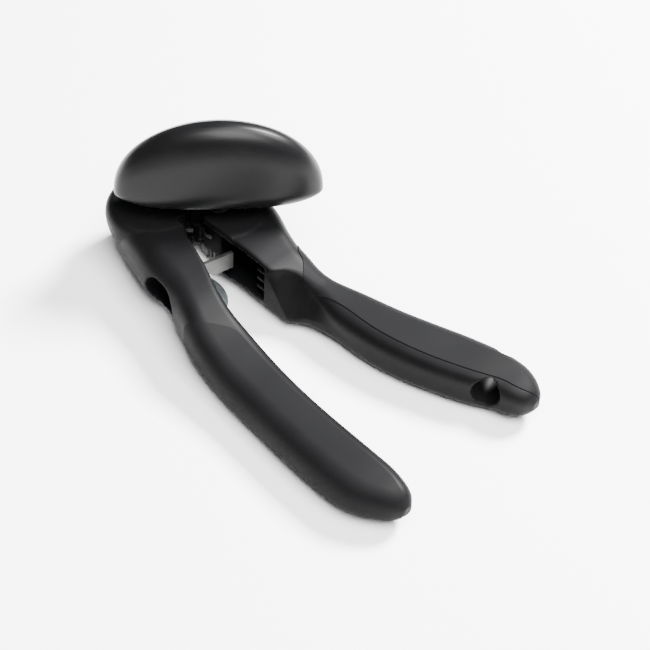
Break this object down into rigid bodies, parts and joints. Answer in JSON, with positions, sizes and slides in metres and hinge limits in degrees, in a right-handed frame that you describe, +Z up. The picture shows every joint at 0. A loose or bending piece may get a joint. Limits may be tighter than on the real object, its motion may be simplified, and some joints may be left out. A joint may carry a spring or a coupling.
{
  "type": "hand can opener",
  "caption": "Pliers-style hand can opener with soft grips, a half-moon turning knob on a vertical shaft, a toothed feed wheel and a round cutting wheel.",
  "frame": {"origin": "middle of the underside's box, on the surface that the opener lies on", "axes": "+Y from the handle ends to the hinge, +Z up through the knob along the hinge and the drive shaft, +X to the handle with the hanging hole"},
  "size_m": [0.0996, 0.1915, 0.0729],
  "materials": {
    "plastic": "fine matt texture",
    "grip": "soft matt",
    "knob_plastic": "satin",
    "steel": "brushed",
    "cutter_steel": "ground, bevelled",
    "sintered": "pressed metal",
    "nylon": "smooth"
  },
  "bodies": {
    "right": {"right_handle": "plastic", "right_grip": "grip", "hinge_plate": "steel", "shaft_bushing": "sintered"},
    "left": {"left_handle": "plastic", "left_grip": "grip", "cutter_bracket": "steel", "bracket_screws": "steel", "guide_strap": "steel", "cutter_axle": "steel", "cutter_washer": "nylon", "pivot_pin": "steel", "pivot_cap": "plastic", "pivot_nut": "steel", "pivot_washers": "nylon"},
    "drive": {"drive_shaft": "steel", "thrust_washer": "nylon", "feed_wheel": "sintered", "lock_washer": "steel", "shaft_nut": "steel", "knob": "knob_plastic", "knob_base": "knob_plastic", "knob_hub": "plastic", "knob_pin": "steel"},
    "cutter": {"cutter_wheel": "cutter_steel"}
  },
  "joints": [
    {"name": "handle_pivot", "type": "hinge", "parent": "right", "child": "left", "pos_m": [-0.0054, 0.07526, 0.0176], "axis": [0, 0, 1], "range_deg": [-2, 16]},
    {"name": "knob_spin", "type": "hinge", "parent": "right", "child": "drive", "pos_m": [0.0126, 0.05606, 0.0176], "axis": [0, 0, 1], "continuous": true},
    {"name": "cutter_spin", "type": "hinge", "parent": "left", "child": "cutter", "pos_m": [-0.0136, 0.04126, 0.003], "axis": [0, -0.1392, 0.9903], "continuous": true}
  ]
}
